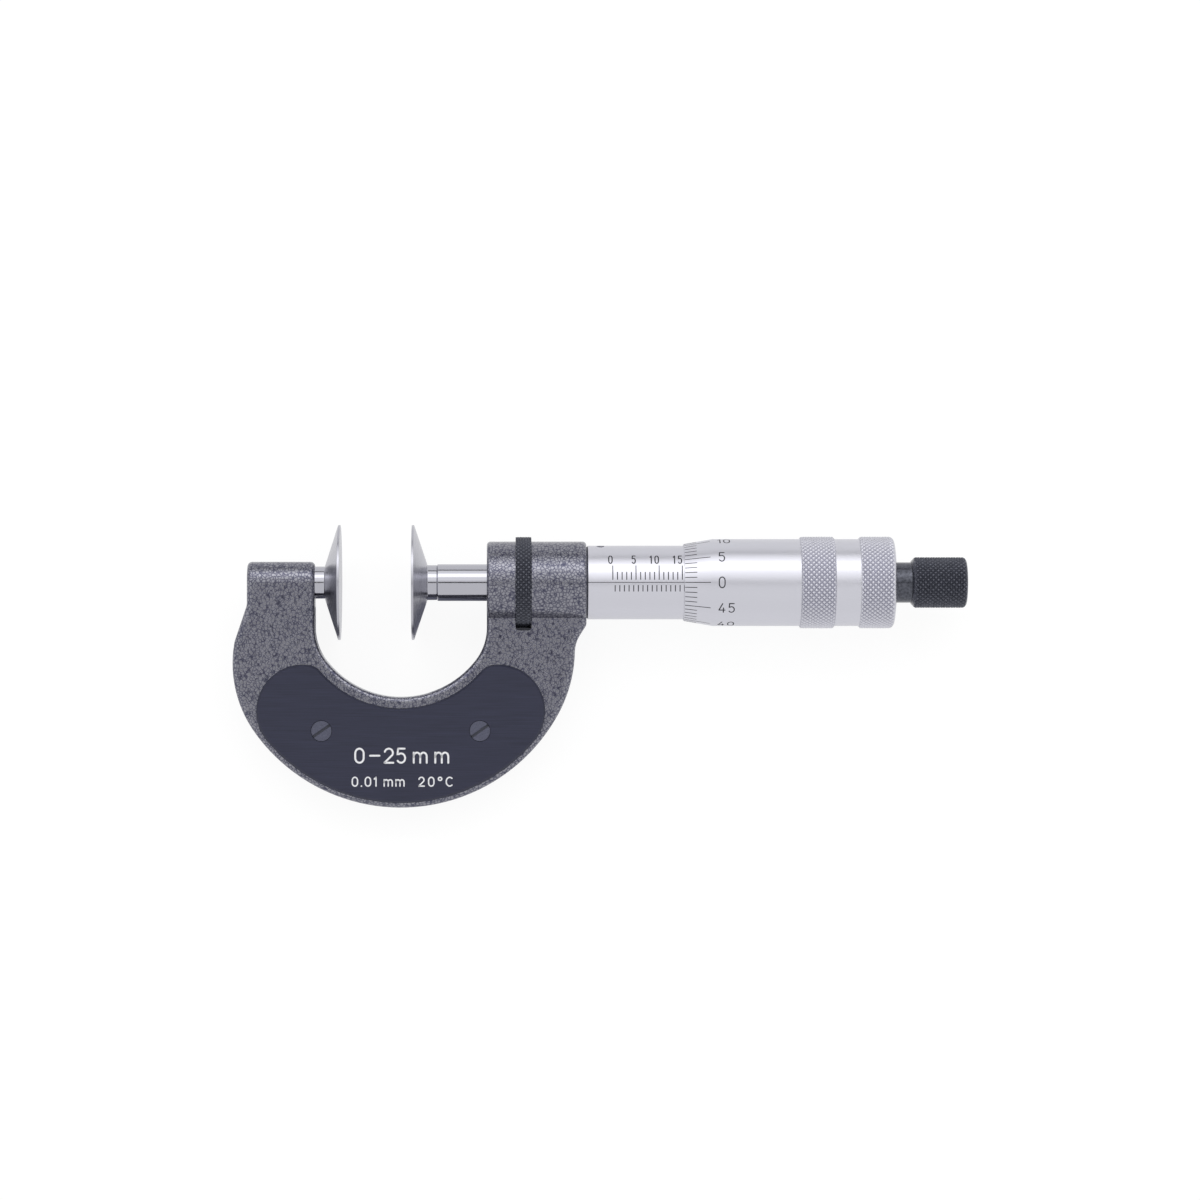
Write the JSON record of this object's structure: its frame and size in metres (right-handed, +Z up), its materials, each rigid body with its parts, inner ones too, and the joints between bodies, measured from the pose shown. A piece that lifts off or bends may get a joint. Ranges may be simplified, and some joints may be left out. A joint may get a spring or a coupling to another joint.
{
  "type": "disc micrometer",
  "caption": "Outside micrometer with flat discs on anvil and spindle, C-shaped frame, clamp ring, graduated sleeve, thimble and ratchet.",
  "frame": {"origin": "centre of the anvil disc's measuring face", "axes": "+X along the measuring axis towards the ratchet, +Z up; the tool lies on its back, its frame rolled 8.83 degrees about +X so that the throat opens towards +Y"},
  "size_m": [0.1593, 0.0613, 0.025],
  "materials": {
    "hammertone_enamel": "hammertone enamel",
    "anodised_plate": "dark satin anodised, brushed",
    "blackened_screw": "blackened",
    "ground_steel": "ground and lapped",
    "black_oxide": "black oxide",
    "satin_chrome": "satin",
    "turned_steel": "turned",
    "turned_brass": "turned"
  },
  "bodies": {
    "frame": {"frame": "hammertone_enamel", "anvil": "ground_steel", "front_plate": "anodised_plate", "back_plate": "anodised_plate", "front_plate_screws": "blackened_screw", "back_plate_screws": "blackened_screw", "clamp_bush": "turned_steel", "clamp_bush_pin": "turned_steel", "nut_sleeve": "turned_steel", "guide_key": "turned_steel", "adjusting_nut": "turned_brass", "scale_sleeve": "satin_chrome"},
    "clamp_ring": {"clamp_ring": "black_oxide"},
    "spindle": {"spindle": "ground_steel", "spindle_disc": "ground_steel", "thrust_ball": "ground_steel", "coupling_pin": "turned_steel"},
    "thimble": {"thimble": "satin_chrome", "lead_screw": "turned_steel", "ratchet_body": "black_oxide", "ratchet_screw": "black_oxide"},
    "ratchet_knob": {"ratchet_knob": "black_oxide", "pawl_disc": "turned_steel", "ratchet_spring": "turned_steel"}
  },
  "joints": [
    {"name": "spindle_slide", "type": "slide", "parent": "frame", "child": "spindle", "axis": [1, 0, 0], "range_m": [-0.0155, 0.0095]},
    {"name": "thimble_turn", "type": "hinge", "parent": "spindle", "child": "thimble", "pos_m": [0.0745, 0, 0], "axis": [1, 0, 0], "range_deg": [-11160.1, 6840.1]},
    {"name": "ratchet_turn", "type": "hinge", "parent": "thimble", "child": "ratchet_knob", "pos_m": [0.13, 0, 0], "axis": [1, 0, 0], "continuous": true},
    {"name": "clamp_turn", "type": "hinge", "parent": "frame", "child": "clamp_ring", "pos_m": [0.03975, 0, 0], "axis": [1, 0, 0], "range_deg": [0, 60]}
  ],
  "couplings": [
    {"joint": "thimble_turn", "follows": "spindle_slide", "rad_per_m": 12566}
  ]
}
